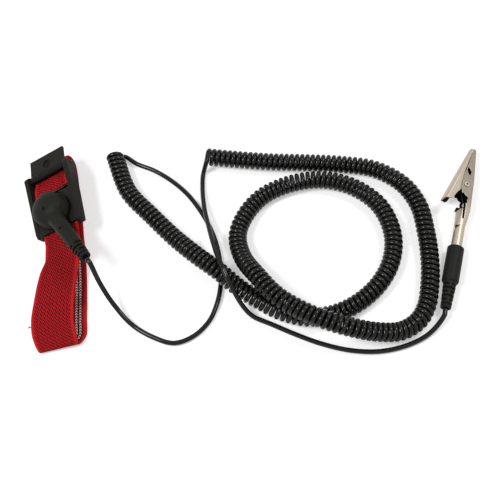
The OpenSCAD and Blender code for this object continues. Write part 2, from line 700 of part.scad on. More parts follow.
module star_opening() {
    points = 6;
    star_r = 3.3;
    notch_r = 2.3;
    star_x = rivet_x - 0.7;
    star_y = clip_rivet_y - 8.7;
    translate([star_x, star_y]) polygon([for (i = [0 : 2 * points - 1])
        (i % 2 == 0 ? star_r : notch_r) * [sin(i * 180 / points), cos(i * 180 / points)]]);
    translate([star_x - 6, star_y - 2.6]) square([6, 5.2]);
}

module lens_opening() {
    lens_r = 3.4;
    lens_w = 2.1;
    intersection() {
        translate([lens_w / 2 - lens_r, 0]) circle(lens_r);
        translate([lens_r - lens_w / 2, 0]) circle(lens_r);
    }
}

// Window in the barrel and slot over the spring's leg, both in the upper side.
module upper_openings() {
    translate([-1.7, barrel_l - 3]) polygon([[-1.2, -1.9], [0.6, 1.2], [-1.2, 0.8]]);
    hull() {
        translate([-1.3, flare_y + 2.5]) circle(0.6);
        translate([-0.6, barrel_l + 2]) circle(0.4);
    }
}

module clip_body() {
    barrel_r = barrel_in_r + sheet_t;
    seam = 0.4;
    color("silver") translate(shift) at_clip() difference() {
        union() {
            rotate([-90, 0, 0]) translate([0, 0, 0.2 - rim_depth])
                cylinder(h = barrel_l - 1 + rim_depth, r = barrel_r);
            intersection() {
                difference() {
                    union() {
                        body_shell(0, outer_corner, 0);
                        barrel_flare(0, outer_corner);
                    }
                    body_shell(sheet_t, inner_corner, 8);
                    barrel_flare(sheet_t, inner_corner);
                }
                linear_extrude(4 * clip_half_w, center = true) body_outline();
            }
        }
        rotate([-90, 0, 0]) translate([0, 0, -rim_depth])
            cylinder(h = barrel_l + rim_depth, r = barrel_in_r);
        translate([rivet_x, clip_rivet_y, 0]) cylinder(h = 20, r = clip_rivet_r, center = true);
        translate([-barrel_r - 1, -rim_depth - 1, -seam / 2]) cube([barrel_r, barrel_l - 2, seam]);
        linear_extrude(2 * clip_half_w) upper_openings();
    }
}

// Back line of the moving half, straight from its tab to its tip.
jaw_tab = [-11.8, clip_rivet_y - 11.6];
jaw_tip_x = -1.6;
function jaw_back(y) = jaw_tab.x + (jaw_tip_x - jaw_tab.x) * (y - jaw_tab.y) / (clip_l - jaw_tab.y);

module jaw_shell(inset, corner, open_x) {
    right = 1.5 + open_x;
    half_w = jaw_half_w - inset;
    hull() {
        slab(jaw_tab.y - 2 * inset, jaw_back(jaw_tab.y) + inset, right, half_w, corner);
        slab(taper_y, jaw_back(taper_y) + inset, right, half_w, corner);
    }
    hull() {
        slab(taper_y, jaw_back(taper_y) + inset, right, half_w, corner);
        slab(clip_l + inset * 0.2, jaw_back(clip_l) + inset, right, tip_half_w - inset, corner);
    }
}

// Side outline of the moving half, from its tab round the rivet to the teeth.
ear_jaw = [[-7.6, -12.3], [-5.9, -10.7], [-4.2, -6.7], [-2.4, -3.9], [0, -2.4], [2, -1.2],
           [2.2, 1], [0.6, 4], [-1.4, 7]];
module jaw_outline() {
    polygon(concat(
        [[jaw_tab.x - 1, jaw_tab.y - 0.2]],
        [for (p = ear_jaw) [rivet_x, clip_rivet_y] + p],
        [for (i = [2 * bites : -1 : 0]) mouth_line(mouth_gap)[i]],
        [[-0.5 - mouth_gap, clip_l], [-1.2, clip_l + 0.3], [-3.5, clip_l],
         [jaw_tab.x - 1, jaw_tab.y + 10]]));
}

module clip_jaw() {
    color("silver") translate(shift) at_clip() difference() {
        intersection() {
            difference() {
                jaw_shell(0, outer_corner, 0);
                jaw_shell(sheet_t, inner_corner, 8);
            }
            linear_extrude(4 * clip_half_w, center = true) jaw_outline();
        }
        translate([rivet_x, clip_rivet_y, 0])
            cylinder(h = 20, r = clip_rivet_r + pin_play, center = true);
    }
}

module clip_rivet() {
    head_t = 0.35;
    color("lightgray") translate(shift) at_clip() translate([rivet_x, clip_rivet_y, 0]) {
        cylinder(h = 2 * (clip_half_w + head_t), r = clip_rivet_r, center = true);
        for (side = [0, 180])
            rotate([side, 0, 0]) translate([0, 0, clip_half_w]) cylinder(h = head_t, r = clip_rivet_r + 0.6);
    }
}

// Torsion spring: a leg into the fixed half, a helix round the rivet, a leg at the tab.
spring_turns = 4;
spring_r = clip_rivet_r + clip_wire / 2 + 0.35;
spring_rise = clip_wire + 0.42;
spring_pts = concat(
    [[-0.7, barrel_l + 2.2, 2.75], [-0.8, barrel_l + 4, 2.25], [-1.1, flare_y + 1.5, 1.9],
     [rivet_x - spring_r, clip_rivet_y - 5, spring_turns * spring_rise / 2],
     [rivet_x - spring_r, clip_rivet_y - 2, spring_turns * spring_rise / 2]],
    [for (i = [0 : spring_turns * 12])
        [rivet_x - spring_r * cos(i * 30), clip_rivet_y + spring_r * sin(i * 30),
         spring_rise * (spring_turns / 2 - i / 12)]],
    [for (k = [1, 2])
        [rivet_x - spring_r - k * 1.2, clip_rivet_y - k * 2.2, -spring_turns * spring_rise / 2]]);
module clip_spring() {
    color("silver") translate(shift) at_clip()
        swept([for (i = [0 : len(spring_pts) - 1])
            ring(spring_pts[i], tangent(spring_pts, i), [0, 0, 1], clip_wire / 2, 6)]);
}

wristband();
buckle_base();
snap_plate();
snap_stud();
stud_rivet();
contact_plate();
clamp_lever();
lever_pin();
connector_shell();
snap_socket();
socket_spring();
safety_resistor();
lead_terminal();
strap_lead();
curly_cord();
clip_lead();
plug_boot();
banana_pin();
banana_springs();
plug_crimp();
clip_body();
clip_jaw();
clip_rivet();
clip_spring();
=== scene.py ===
"""Looks of the grounding wrist strap: woven band, clamp buckle, coiled cord, plug and crocodile clip."""

import json
import math

import bmesh
import bpy
import numpy as np
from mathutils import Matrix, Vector


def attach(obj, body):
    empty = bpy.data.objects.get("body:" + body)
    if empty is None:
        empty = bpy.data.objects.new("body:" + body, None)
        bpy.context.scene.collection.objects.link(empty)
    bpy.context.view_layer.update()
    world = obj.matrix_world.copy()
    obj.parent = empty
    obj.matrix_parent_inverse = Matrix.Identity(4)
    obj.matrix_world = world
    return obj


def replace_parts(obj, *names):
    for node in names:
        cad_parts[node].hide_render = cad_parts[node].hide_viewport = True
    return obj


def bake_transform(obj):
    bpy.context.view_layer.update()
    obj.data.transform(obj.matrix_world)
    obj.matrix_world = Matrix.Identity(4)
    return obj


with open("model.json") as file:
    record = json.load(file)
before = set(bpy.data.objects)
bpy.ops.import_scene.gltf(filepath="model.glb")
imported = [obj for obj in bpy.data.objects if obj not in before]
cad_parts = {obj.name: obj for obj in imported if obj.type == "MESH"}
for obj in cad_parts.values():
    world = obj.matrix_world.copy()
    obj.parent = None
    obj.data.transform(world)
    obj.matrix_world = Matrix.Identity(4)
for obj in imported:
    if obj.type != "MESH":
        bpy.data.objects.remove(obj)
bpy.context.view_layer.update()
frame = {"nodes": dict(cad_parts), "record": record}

MM = 0.001


# ---- Curves through given points, in millimetres ----


def smooth(points, steps):
    """Centripetal curve through the points; every column of their rows runs smoothly."""
    points = np.array(points, float)
    before_first, past_last = 2 * points[0] - points[1], 2 * points[-1] - points[-2]
    knots = np.concatenate([[before_first], points, [past_last]])
    span = np.sqrt(np.linalg.norm(np.diff(knots[:, :3], axis=0), axis=1))
    u = np.linspace(0, 1, steps, endpoint=False)[:, None]
    curve = []
    for k in range(1, len(knots) - 2):
        before, here, after, later = knots[k - 1 : k + 3]
        a, b, c = span[k - 1 : k + 2]
        leave = ((here - before) / a - (after - before) / (a + b) + (after - here) / b) * b
        arrive = ((after - here) / b - (later - here) / (b + c) + (later - after) / c) * b
        curve.append(
            (2 * u**3 - 3 * u**2 + 1) * here
            + (u**3 - 2 * u**2 + u) * leave
            + (3 * u**2 - 2 * u**3) * after
            + (u**3 - u**2) * arrive
        )
    return np.concatenate([*curve, points[-1:]])


def unit(vectors):
    return vectors / np.linalg.norm(vectors, axis=-1, keepdims=True)


def tangents(curve):
    return unit(np.gradient(curve, axis=0))


def run_along(curve):
    """Distance of each point from the curve's start."""
    return np.concatenate([[0], np.cumsum(np.linalg.norm(np.diff(curve, axis=0), axis=1))])


# ---- Places shared with the solids: millimetres in the layout, which SHIFT takes to the part's origin ----

SHIFT = np.array([-1.73757, 2.60903, 0])

# The buckle: how it lies, its band, its tray, its press stud and its hinge pin
YAW, PITCH, ROLL = 14.5, 2.5, 28
BUCKLE_AT = np.array([5.57, 5.89, 8.1])
BAND_W, BAND_T, BAND_GAP = 20.5, 1.4, 0.15
TRAY_L, TRAY_IN, TRAY_FLOOR = 34.2, 21.7, 1.6
BAND_MID = TRAY_FLOOR + BAND_GAP + BAND_T / 2
STUD_Y = 9.2
PIN_Y, PIN_Z = TRAY_L - 3, 4.9

# The connector's neck
NECK_TURN, NECK_Z, NECK_L = 25, 9.5, 36.4

# The plug and the clip
PLUG_TURN, CLIP_ROLL = -15.2, 22
PLUG_AT = np.array([195.3, -1.1, 4.2])
BOOT_L, BOOT_RELIEF_L = 19.5, 13.4


def turned(axis, degrees, v):
    """The vector turned about X, Y or Z."""
    a, b = [(1, 2), (2, 0), (0, 1)]["XYZ".index(axis)]
    c, s = math.cos(math.radians(degrees)), math.sin(math.radians(degrees))
    v = np.array(v, float)
    v[a], v[b] = v[a] * c - v[b] * s, v[a] * s + v[b] * c
    return v


def tray_dir(v):
    """A direction along the tray's own x, y and z."""
    return turned("Z", YAW, turned("X", PITCH, turned("Y", -ROLL, v)))


def tray_point(x, y, z):
    """A place in the layout, given in the tray's own x, y and z."""
    return BUCKLE_AT + tray_dir((x, y, z))


def clip_point(x, y, z):
    """A place in the layout, given in the clip's own x, y and z."""
    return PLUG_AT + turned("Z", PLUG_TURN, turned("Y", CLIP_ROLL, (x, y, z)))


def seen_from_clip(way):
    """A direction, or a place less the plug's, as the clip's own x, y and z."""
    return turned("Y", -CLIP_ROLL, turned("Z", -PLUG_TURN, way))


def seen_from_tray(spot):
    """A place on the object, in metres, as the tray's own x, y and z in millimetres."""
    away = np.array(spot) / MM - SHIFT - BUCKLE_AT
    return turned("Y", ROLL, turned("X", -PITCH, turned("Z", -YAW, away)))


# ---- Shader maths ----


class Value:
    """A socket that varies over a surface. Arithmetic on it adds Math nodes."""

    def __init__(self, nodes, socket):
        self.nodes, self.socket = nodes, socket

    def math(self, operation, *inputs):
        return self.nodes.node("Math", {"operation": operation}, *inputs)

    def __add__(self, other):
        return self.math("ADD", self, other)

    def __radd__(self, other):
        return self.math("ADD", other, self)

    def __sub__(self, other):
        return self.math("SUBTRACT", self, other)

    def __rsub__(self, other):
        return self.math("SUBTRACT", other, self)

    def __mul__(self, other):
        return self.math("MULTIPLY", self, other)

    def __rmul__(self, other):
        return self.math("MULTIPLY", other, self)

    def __truediv__(self, other):
        return self.math("DIVIDE", self, other)

    def __abs__(self):
        return self.math("ABSOLUTE", self)

    def part(self):
        return self.math("FRACT", self)

    def sine(self):
        return self.math("SINE", self)

    def rise(self, low, high):
        """0 below low, 1 above high, and soft between them."""
        return self.nodes.node("MapRange", {"interpolation_type": "SMOOTHSTEP"}, self, low, high)


class Nodes:
    """A node tree in the making."""

    def __init__(self, tree):
        self.tree = tree

    def node(self, kind, settings, *inputs, out=0, **named):
        """Adds a node of that kind; a None input is left as it is."""
        made = self.tree.nodes.new("ShaderNode" + kind)
        for setting, value in settings.items():
            setattr(made, setting, value)
        by_name = [(made.inputs[name], value) for name, value in named.items()]
        for socket, value in [*zip(made.inputs, inputs), *by_name]:
            if isinstance(value, Value):
                self.tree.links.new(value.socket, socket)
            elif value is not None:
                socket.default_value = value
        return Value(self, made.outputs[out])

    def feed(self, node, socket, value):
        self.tree.links.new(value.socket, node.inputs[socket])

    def seen_rays(self):
        """1 where the camera sees the surface, directly or in a gloss."""
        rays = [self.node("LightPath", {}, out=ray) for ray in ("Is Camera Ray", "Is Glossy Ray")]
        return self.node("Math", {"operation": "MAXIMUM"}, *rays)


class Finish(Nodes):
    """A material in the making, on a Principled shader."""

    def __init__(self, name, constants):
        self.material = bpy.data.materials.new(name)
        self.material.use_nodes = True
        super().__init__(self.material.node_tree)
        self.shader = self.tree.nodes["Principled BSDF"]
        for socket, value in constants.items():
            self.shader.inputs[socket].default_value = value

    def set(self, socket, value):
        self.feed(self.shader, socket, value)

    def place(self):
        """Position on the object, in millimetres."""
        spot = self.node("TexCoord", {}, out="Object")
        return self.node("VectorMath", {"operation": "SCALE"}, spot, Scale=1 / MM)

    def across_and_along(self):
        """The piece's own UV map: across and along it, in millimetres."""
        across = self.node("SeparateXYZ", {}, self.node("UVMap", {"uv_map": "weave"}))
        return across, Value(self, across.socket.node.outputs["Y"])

    def mark(self, name):
        """A number that the piece's mesh carries at each corner."""
        return self.node("Attribute", {"attribute_name": name}, out="Fac")

    def noise(self, spot, scale, detail=3, roughness=0.55):
        return self.node("TexNoise", {}, spot, Scale=scale, Detail=detail, Roughness=roughness)

    def round_spot(self, spot, middle, radius, inward, outward):
        """1 inside a ball, 0 outside it; its soft edge reaches in and out by shares of its radius."""
        away = self.node("VectorMath", {"operation": "DISTANCE"}, spot, tuple(middle), out="Value")
        return 1 - away.rise((1 - inward) * radius, (1 + outward) * radius)

    def blend(self, share, first, second):
        """Colour between two colours."""
        unused = [None] * 5
        first, second = (c if isinstance(c, Value) else (*c, 1) for c in (first, second))
        return self.node("Mix", {"data_type": "RGBA"}, share, *unused, first, second, out=2)

    def relief(self, height, depth_mm, strength=1.0):
        """Raises the surface by height, a share of the depth."""
        self.set("Normal", self.node("Bump", {}, Strength=strength, Distance=depth_mm * MM, Height=height))


# ---- Finishes ----


def webbing():
    """Red elastic: rows of slanted dark dashes outside, zigzag conductive yarns inside, plain selvages."""
    dash_pitch, shallow_slant, steep_slant = 1.45, 0.5, 1.06
    stripe_pitch, stripe_start, zigzag_pitch = 1.76, 1.67, 1.38
    yarn_pitch, yarn_lean = 0.42, 1.9
    red, dark_red, selvage_red = (0.56, 0.016, 0.02), (0.33, 0.006, 0.01), (0.56, 0.018, 0.018)
    dash_shadow, inner_shadow = (0.012, 0.0005, 0.0005), (0.04, 0.001, 0.003)
    conductive_yarn = (1.0, 0.92, 0.88)

    f = Finish("red_webbing", {"Roughness": 0.9, "Specular IOR Level": 0.12})
    across, along = f.across_and_along()
    fibres, inside = f.noise(f.place(), 9, 4), f.mark("inside")
    off_middle = abs(across)
    selvage, outside = off_middle.rise(8.6, 8.9), 1 - inside

    shallow = ((along / dash_pitch - across * shallow_slant) * math.tau).sine()
    steep = ((along / dash_pitch - across * steep_slant) * math.tau).sine()
    dash = (shallow * 0.36 + steep * 0.64).rise(0.05, 0.4) * (1 - selvage) * outside
    from_stripe = abs(((across + stripe_start) / stripe_pitch + 0.5).part() - 0.5)
    chevron = abs((along / zigzag_pitch + from_stripe * 2).part() - 0.5).rise(0.2, 0.28)
    stripe = (1 - from_stripe.rise(0.26, 0.34)) * chevron * inside * (1 - off_middle.rise(8.1, 8.3))
    yarn = ((along / yarn_pitch + across / yarn_lean) * math.tau).sine() * 0.5 + 0.5

    cloth = f.blend(fibres * 0.8 + yarn * 0.2, dark_red, red)
    cloth = f.blend(selvage * 0.4, cloth, selvage_red)
    cloth = f.blend(dash, cloth, dash_shadow)
    cloth = f.blend(inside * (0.8 - off_middle.rise(7.9, 8.5) * 0.6), cloth, inner_shadow)
    f.set("Base Color", f.blend(stripe, cloth, conductive_yarn))
    f.relief((1 - dash) * 0.7 + yarn * 0.15 + fibres * 0.15, 0.2)
    return f.material


def beside_hinge(f, spot):
    """1 in the gap between the buckle's cheeks, round the hinge pin, where painted shade goes."""
    half_gap, ahead_middle, half_depth = 10.5, -0.2, 1.6
    pin = SHIFT + tray_point(0, PIN_Y, PIN_Z)

    def from_pin(way):
        along_way = f.node("VectorMath", {"operation": "DOT_PRODUCT"}, spot, tuple(way), out="Value")
        return along_way - float(way @ pin)

    across, ahead = from_pin(tray_dir((1, 0, 0))), from_pin(tray_dir((0, 1, 0)))
    between = 1 - abs(across).rise(half_gap - 0.1, half_gap + 0.1)
    return between * (1 - abs(ahead - ahead_middle).rise(half_depth - 0.3, half_depth + 0.3))


def plastic(name, dark, light, gloss, roughness, grain_scale, hollows=(), hinged=False):
    """Moulded charcoal plastic: cloudy tone, fine grain, and painted shade in its hollows and round its
    hinge.
    """
    hollow_shadow, hinge_shadow = (0.003, 0.003, 0.003), (0.002, 0.002, 0.002)
    f = Finish(name, {"Specular IOR Level": gloss})
    spot = f.place()
    grain, cloud = f.noise(spot, grain_scale, 5), f.noise(spot, 0.3, 2)
    shade = f.blend(cloud, dark, light)
    # Painted shade: each hollow or pit is darkened as if shade falls in it.
    for middle, radius in hollows:
        shade = f.blend(f.round_spot(spot, middle, radius, 0.15, 0.1), shade, hollow_shadow)
    # Painted shade in the hinge gap between the cheeks.
    if hinged:
        shade = f.blend(beside_hinge(f, spot) * 0.85, shade, hinge_shadow)
    f.set("Base Color", shade)
    f.set("Roughness", grain * 0.2 + roughness)
    f.relief(grain, 0.02, 0.5)
    return f.material


def cord_jacket():
    """Glossy black jacket with faint drawing marks."""
    black, worn_black = (0.0025, 0.0025, 0.002), (0.006, 0.006, 0.005)
    f = Finish("cord_jacket", {"Specular IOR Level": 0.26})
    spot = f.place()
    grain, cloud = f.noise(spot, 3, 4), f.noise(spot, 0.12, 2)
    f.set("Base Color", f.blend(cloud, black, worn_black))
    f.set("Roughness", grain * 0.07 + 0.06)
    f.relief(grain, 0.015, 0.3)
    return f.material


def metal(name, dull, bright, roughness, shaded_spots=(), folded=False):
    """Plated or bare metal: cloudy tone, fine scratches, uneven polish, and painted shade in its folds and at
    given spots.
    """
    fold_shadow, spot_shade = (0.012, 0.01, 0.009), (0.02, 0.02, 0.02)
    f = Finish(name, {"Metallic": 1.0})
    spot = f.place()
    cloud, grain = f.noise(spot, 1.2, 4), f.noise(spot, 14, 5)
    tone = f.blend(cloud, dull, bright)
    # Painted shade on the clip's inner faces and towards the fixed half's jaw, read from the inside mark.
    if folded:
        tone = f.blend(f.mark("inside") * 0.95, tone, fold_shadow)
    # Painted shade: each given spot is darkened as if it lay in a hollow or in shade.
    for middle, radius in shaded_spots:
        tone = f.blend(f.round_spot(spot, middle, radius, 0.2, 0.2), tone, spot_shade)
    f.set("Base Color", tone)
    f.set("Roughness", cloud * 0.15 + grain * 0.1 + roughness)
    f.relief(grain, 0.01, 0.4)
    return f.material


def resistor_body():
    """Tan lacquer of the safety resistor."""
    tan, light_tan = (0.5, 0.36, 0.22), (0.62, 0.48, 0.32)
    f = Finish("resistor_body", {"Coat Weight": 0.4, "Roughness": 0.4})
    cloud = f.noise(f.place(), 2.5, 3)
    f.set("Base Color", f.blend(cloud, tan, light_tan))
    f.relief(cloud, 0.03, 0.4)
    return f.material


# Each hollow or pit is a place and a radius, in millimetres
# The lever's dimple and the connector's two pits below are darkened by painted shade in their plastics.
LEVER_DROOP, DIMPLE_Y = math.radians(6), 6.1
DIMPLE = SHIFT + tray_point(
    0, PIN_Y + DIMPLE_Y * math.cos(LEVER_DROOP), PIN_Z + 0.3 - DIMPLE_Y * math.sin(LEVER_DROOP)
)
# Spots of painted shade on metal: the hinge pin's ends, the rivet's hollow end and the middle of the clip's
# spring.
CHEEK_OUTSIDE = 13
PIN_ENDS = [SHIFT + tray_point(side * CHEEK_OUTSIDE, PIN_Y, PIN_Z) for side in (-1, 1)]
RIVET_END, SPRING_MIDDLE = SHIFT + clip_point(-2, 35.1, 3.9), SHIFT + clip_point(-3, 28, 0)
HEAD_PIT = (SHIFT + tray_point(0.5, 7.4, 14.5), 0.8)
NECK_PIT = (SHIFT + tray_point(7.05, -5.65, 13.2), 0.8)

FINISHES = {
    "webbing": webbing(),
    "buckle_plastic": plastic(
        "buckle_plastic", (0.0095, 0.0088, 0.0068), (0.0155, 0.0145, 0.012), gloss=0.095,
        roughness=0.36, grain_scale=5, hollows=[(DIMPLE, 2.5)], hinged=True,
    ),
    "connector_plastic": plastic(
        "connector_plastic", (0.0105, 0.0108, 0.0082), (0.0165, 0.0172, 0.0135), gloss=0.085,
        roughness=0.4, grain_scale=7, hollows=[HEAD_PIT, NECK_PIT],
    ),
    "boot_plastic": plastic(
        "boot_plastic", (0.009, 0.0092, 0.0076), (0.0165, 0.0168, 0.0142), gloss=0.12,
        roughness=0.46, grain_scale=9,
    ),
    "cord_jacket": cord_jacket(),
    "nickel_plate": metal("nickel_plate", (0.56, 0.54, 0.5), (0.72, 0.7, 0.66), 0.14),
    # Painted shade in the rivet's hollow end, on the clip's inner faces and towards the fixed half's jaw.
    "clip_nickel": metal(
        "clip_nickel", (0.365, 0.313, 0.25), (0.52, 0.45, 0.373), 0.32, [(RIVET_END, 0.5)], folded=True
    ),
    # Painted shade at the hinge pin's ends, which stand for recesses, and round the clip's spring inside the
    # clip.
    "stainless": metal(
        "stainless", (0.5, 0.5, 0.5), (0.62, 0.62, 0.61), 0.28,
        [*((end, 1.5) for end in PIN_ENDS), (SPRING_MIDDLE, 15)],
    ),
    "spring_brass": metal("spring_brass", (0.6, 0.42, 0.18), (0.72, 0.54, 0.28), 0.25),
    "resistor_body": resistor_body(),
}


# ---- Pieces and the nodes that they stand for ----


def pick(*pieces):
    """Only these pieces are selected, and the first is active."""
    bpy.ops.object.select_all(action="DESELECT")
    for piece in pieces:
        piece.select_set(True)
    bpy.context.view_layer.objects.active = pieces[0]


def new_object(name, data):
    made = bpy.data.objects.new(name, data)
    bpy.context.collection.objects.link(made)
    return made


def finish_piece(piece, slot, body=None):
    """Gives a new piece its finish and, unless it bends between two bodies, the body that it moves with."""
    piece.data.materials.clear()
    piece.data.materials.append(FINISHES[slot])
    if body:
        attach(piece, body)
    return piece


def stand_for(piece, node, body):
    """The piece takes the node's place, with the finish of its slot."""
    slots = {part["node"]: part["material_slot"] for part in frame["record"]["subparts"]}
    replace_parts(finish_piece(piece, slots[node], body), node)
    return piece


def finish_cad_nodes():
    """Every carried-over node takes the finish of its slot."""
    for part in frame["record"]["subparts"]:
        node = frame["nodes"][part["node"]]
        node.data.materials.clear()
        node.data.materials.append(FINISHES[part["material_slot"]])


# ---- Cords ----

WIRE, COIL_OD = 2.4, 9.3
COIL_Z, LEAD_Z = COIL_OD / 2 + 0.05, WIRE / 2 + 0.1
CURLS, RINGS_A_CURL = 228.5, 18
COIL_ROUTE = [
    (74, 51.5, COIL_Z), (88, 50, COIL_Z), (106, 48.5, COIL_Z), (124, 48, COIL_Z),
    (142, 47, COIL_Z), (159, 44, COIL_Z), (172.5, 35, COIL_Z), (179.5, 22.5, COIL_Z),
    (181.5, 8.5, COIL_Z), (182, -2, COIL_Z), (181.5, -13.5, COIL_Z), (180, -23.5, COIL_Z),
    (178, -31.5, COIL_Z), (173.5, -39, COIL_Z), (165, -44.5, 5.4), (153.5, -46.5, 9),
    (141.5, -46, 13), (129, -43, 15), (118, -38, 15.2), (107.5, -31, 15.2),
    (98.5, -20, 13.5), (92, -8, 8), (89.5, 5.5, 4.8), (93.5, 17.5, COIL_Z),
    (102, 28, COIL_Z), (115.5, 35, COIL_Z), (131.5, 37.5, COIL_Z), (147, 33.5, COIL_Z),
    (159.5, 23, COIL_Z), (165, 8, COIL_Z), (164, -6, COIL_Z), (158, -18.5, COIL_Z),
    (147, -29.5, COIL_Z), (134, -36, COIL_Z), (121.5, -37.5, COIL_Z), (110, -34.5, COIL_Z),
    (100, -29, 4.8), (90.5, -23, 5.6), (81, -15.5, 7.6), (70, -6.5, 6.8),
    (58.5, 4.5, 4.8), (46.5, 17, COIL_Z), (34.5, 30.5, COIL_Z), (25.8, 52.3, COIL_Z),
]
CLIP_LEAD_ROUTE = [
    (71.5, 43, 1.3), (71.5, 32.5, 1.8), (73, 20.5, 4.2), (75.5, 8.5, 7.5), (78, -2.5, 11.5),
    (80.5, -11, 14.2), (84, -19, 14), (87.5, -26, 11), (92.5, -33, 6.2), (97, -36.5, 3.2),
    (104, -39, 1.3), (115, -44, 1.3), (127.5, -49, 1.3), (141.5, -52.5, 1.3), (155, -53, 1.3),
    (168, -50, 1.3), (178.5, -44.5, 2),
]
STRAP_LEAD_ROUTE = [
    (37, 49.5, 1.3), (46, 45.5, 1.3), (55, 39.5, 1.3), (63.5, 31.5, 1.3), (70, 22.5, 1.3),
    (75, 13.5, 1.3), (78.5, 4.5, 1.3), (80.5, -4, 1.3), (81.5, -12, 1.3), (81.5, -20, 1.3),
    (80, -29, 1.3), (76.5, -38, 1.3), (69.5, -45.5, 1.3), (60.5, -49, 1.3), (50.5, -46, 1.3),
    (40.5, -40, 2), (32, -31.5, 6), (26.5, -24.5, 13),
]


def coil_helix():
    """Centre of the wire in the coil, and the directions in which it leaves the two ends."""
    axis = smooth(COIL_ROUTE, 12)
    axis[:, 2] = np.maximum(axis[:, 2], COIL_Z)
    run = run_along(axis)

    def at(s):
        return np.column_stack([np.interp(s, run, axis[:, k]) for k in range(3)])

    turn = np.linspace(0, CURLS, round(CURLS * RINGS_A_CURL) + 1)
    s, reach = run[-1] * turn / CURLS, 1.5
    ahead = unit(at(np.minimum(s + reach, run[-1])) - at(np.maximum(s - reach, 0)))
    left = unit(np.cross([0, 0, 1], ahead))
    up = np.cross(ahead, left)
    angle = math.pi / 2 - math.tau * turn[:, None]
    helix = at(s) + (COIL_OD - WIRE) / 2 * (np.cos(angle) * left + np.sin(angle) * up)
    return helix, left[0], -left[-1]


def lead_line(points):
    """Centre of a lead through its points, lying on the floor at the lowest."""
    line = smooth(points, 6)
    line[:, 2] = np.maximum(line[:, 2], LEAD_Z)
    return line


def wire_along(name, line_mm, thickness_mm, sides=12):
    """Round wire along a line, as a mesh with closed ends."""
    curve = bpy.data.curves.new(name, "CURVE")
    curve.dimensions = "3D"
    curve.bevel_depth = thickness_mm / 2 * MM
    curve.bevel_resolution = sides // 4 - 1
    curve.use_fill_caps = True
    spline = curve.splines.new("POLY")
    spline.points.add(len(line_mm) - 1)
    rows = np.column_stack([line_mm * MM, np.ones(len(line_mm))])
    spline.points.foreach_set("co", rows.astype(np.float32).ravel())
    pick(new_object(name, curve))
    bpy.ops.object.convert(target="MESH")
    bpy.ops.object.shade_smooth()
    return bpy.context.object


def points_in_boot():
    """The clip lead's last points: into the plug's sleeve and through its strain relief."""
    way = turned("Z", PLUG_TURN, (0, 1, 0))
    boot_end = PLUG_AT - (BOOT_L + BOOT_RELIEF_L) * way
    return [boot_end + step * way for step in (-1.6 * WIRE, 0, BOOT_RELIEF_L / 2, BOOT_RELIEF_L)]


def points_in_neck():
    """The strap lead's last points: into the connector's neck."""
    turn = math.radians(NECK_TURN)
    way, root = np.array([math.sin(turn), -math.cos(turn), 0]), np.array([0, STUD_Y, NECK_Z])
    steps = (NECK_L + 1.6 * WIRE, NECK_L, NECK_L - 6, NECK_L - 12)
    return [BUCKLE_AT + tray_dir(root + step * way) for step in steps]


def cords(plug_pieces):
    """The coil with the lead to the clip in one piece, and the lead to the connector."""
    helix, leave_start, leave_end = coil_helix()
    coil_start, coil_end = helix[0] - WIRE * leave_start, helix[-1] + WIRE * leave_end

    clip_lead = lead_line([coil_start, coil_start - WIRE * leave_start, *CLIP_LEAD_ROUTE, *points_in_boot()])
    line = np.concatenate([clip_lead[::-1], helix, [coil_end]]) + SHIFT
    coiled = finish_piece(wire_along("coiled_cord", line, WIRE), "cord_jacket", "strap")
    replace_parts(coiled, "curly_cord", "clip_lead")
    (coil_end + SHIFT) * MM

    into_neck = points_in_neck()
    strap_line = lead_line([coil_end, coil_end + WIRE * leave_end, *STRAP_LEAD_ROUTE, *into_neck]) + SHIFT
    strap_lead = finish_piece(wire_along("connector_lead", strap_line, WIRE, 16), "cord_jacket")
    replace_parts(strap_lead, "strap_lead")
    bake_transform(strap_lead)


# ---- Woven band ----


def band_stations():
    """Centre, roll, yaw and share of the width, from the riveted end round to the free end."""

    def in_tray(y, z=BAND_MID, x=0):
        return (*tray_point(x, y, z), ROLL, YAW, 1)

    flat = BAND_T / 2
    riveted_end = [in_tray(y) for y in (15.5, 12, 8, 4, 0)]
    upper_layer = [
        (6, -4, 8.2, 30, 13, 1.02), (4.8, -13.1, 6, 21, 9, 1.05), (3.9, -27.7, 5.2, 17, 4.5, 1.04),
        (4, -38.6, 4.2, 13, 3, 1.04), (5.7, -46.2, 4.3, 11, 8, 1.01),
    ]
    fold = [(8.3, -51.6, 2.6, 5, 12.5, 0.92), (9.9, -47, flat, 0, 11, 0.98)]
    lower_layer = [
        (9, -37.3, flat, 0, 8, 1), (7.6, -20.7, 0.8, 1, 7, 1), (6.4, -7, 2.3, 9, 7, 1),
        (5.1, 3, 3.3, 16, 8, 1), (3.5, 13.8, 3.6, 17, 9, 1), (1.4, 24, 3.6, 16, 12, 1),
        (0.6, 31.4, 4.8, 21, 14, 1),
    ]
    round_bar = [
        in_tray(30, -3.8, 0.9), in_tray(34.5, -2.8, 1.3), in_tray(37.4, -0.2, 1.3), in_tray(36.9, 2.1, 0.8),
    ]
    free_end = [
        in_tray(34.2), in_tray(31), in_tray(29.2), in_tray(26.2, BAND_MID + 0.92, -0.35),
        in_tray(23.5, BAND_MID + 1.15, -0.4), in_tray(21.3, BAND_MID + 1.09, -0.4),
    ]
    return [*riveted_end, *upper_layer, *fold, *lower_layer, *round_bar, *free_end]


